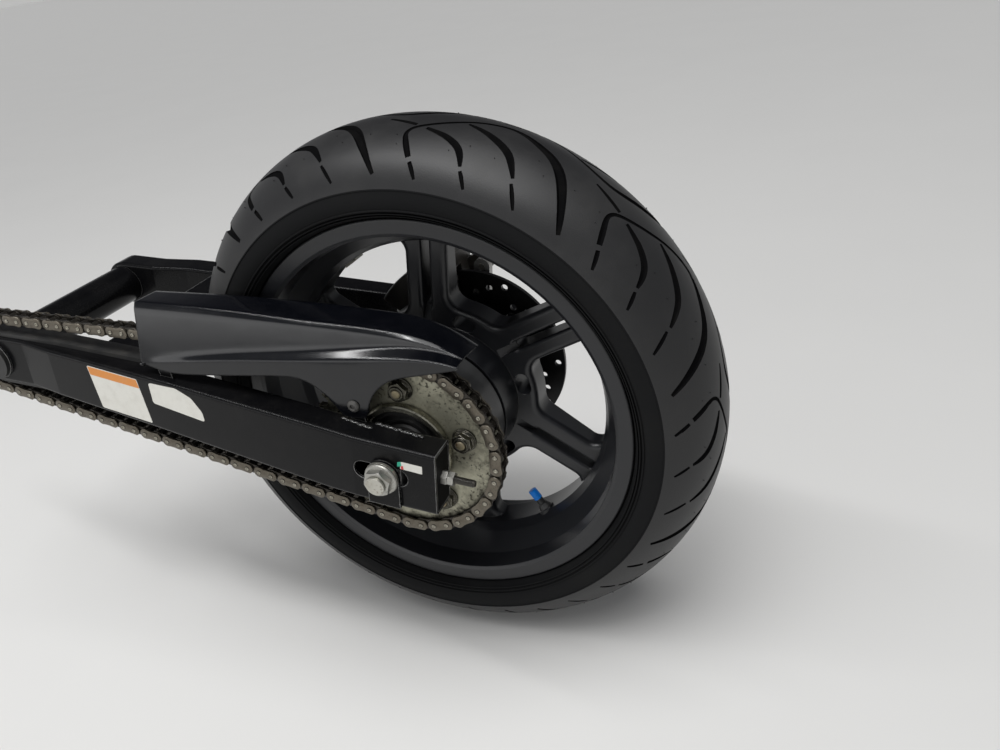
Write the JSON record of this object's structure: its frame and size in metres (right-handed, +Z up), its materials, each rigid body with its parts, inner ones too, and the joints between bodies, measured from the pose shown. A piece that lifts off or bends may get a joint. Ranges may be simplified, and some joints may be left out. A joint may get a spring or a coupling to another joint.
{
  "type": "motorcycle rear wheel and swingarm assembly",
  "caption": "Rear wheel of a sport touring motorcycle in its swingarm, with tyre, chain drive, brake disc, caliper and chain guard; the wheel turns on its axle.",
  "frame": {"origin": "centre of the swingarm's pivot bore, on the machine's centre plane", "axes": "+X rearward from the pivot towards the wheel, +Y to the machine's right along the pivot and axle, +Z up"},
  "size_m": [1.0004, 0.385, 0.6248],
  "materials": {
    "tyre": "black tyre rubber",
    "wheel_black": "satin black paint",
    "arm_black": "satin black paint",
    "guard_black": "glossy black moulding",
    "slider_plastic": "matt black plastic",
    "valve_rubber": "black rubber",
    "cap_blue": "blue plastic",
    "seal_rubber": "black rubber",
    "plated_steel": "dull zinc plating",
    "bearing_steel": "ground steel",
    "sprocket_steel": "dull grey steel, oily",
    "chain_steel": "brown-grey steel, oily",
    "disc_steel": "dark ground steel",
    "dark_steel": "blackened steel",
    "caliper_paint": "dark bronze paint",
    "bracket_alloy": "cast aluminium",
    "spacer_alloy": "turned aluminium",
    "pad_lining": "sintered lining on steel"
  },
  "bodies": {
    "swingarm": {"drive_chain": "chain_steel", "front_sprocket": "sprocket_steel", "left_arm": "arm_black", "right_arm": "arm_black", "arm_end_plates": "arm_black", "pivot_tube": "arm_black", "pivot_bearings": "bearing_steel", "pivot_collar": "plated_steel", "pivot_seals": "seal_rubber", "cross_member": "arm_black", "linkage_lugs": "arm_black", "chain_slider": "slider_plastic", "rear_axle": "plated_steel", "axle_nut": "plated_steel", "axle_washers": "plated_steel", "index_plates": "arm_black", "adjuster_blocks": "spacer_alloy", "adjuster_studs": "plated_steel", "adjuster_nuts": "plated_steel", "axle_spacers": "spacer_alloy", "caliper_bracket": "bracket_alloy", "caliper_body": "caliper_paint", "brake_pads": "pad_lining", "guide_pins": "plated_steel", "bleed_screw": "plated_steel", "bracket_anchor": "arm_black", "chain_guard": "guard_black", "guard_tab": "arm_black", "guard_bolts": "plated_steel"},
    "wheel": {"tyre": "tyre", "wheel_casting": "wheel_black", "tyre_valve": "valve_rubber", "valve_cap": "cap_blue", "balance_weight": "plated_steel", "wheel_bearings": "bearing_steel", "hub_seals": "seal_rubber", "sprocket_carrier": "wheel_black", "rear_sprocket": "sprocket_steel", "sprocket_studs": "plated_steel", "sprocket_nuts": "plated_steel", "brake_disc": "disc_steel", "disc_bolts": "dark_steel"}
  },
  "joints": [
    {"name": "wheel_spin", "type": "hinge", "parent": "swingarm", "child": "wheel", "pos_m": [0.54707, 0, -0.08078], "axis": [0, 1, 0], "continuous": true, "deforming": ["drive_chain"]}
  ]
}
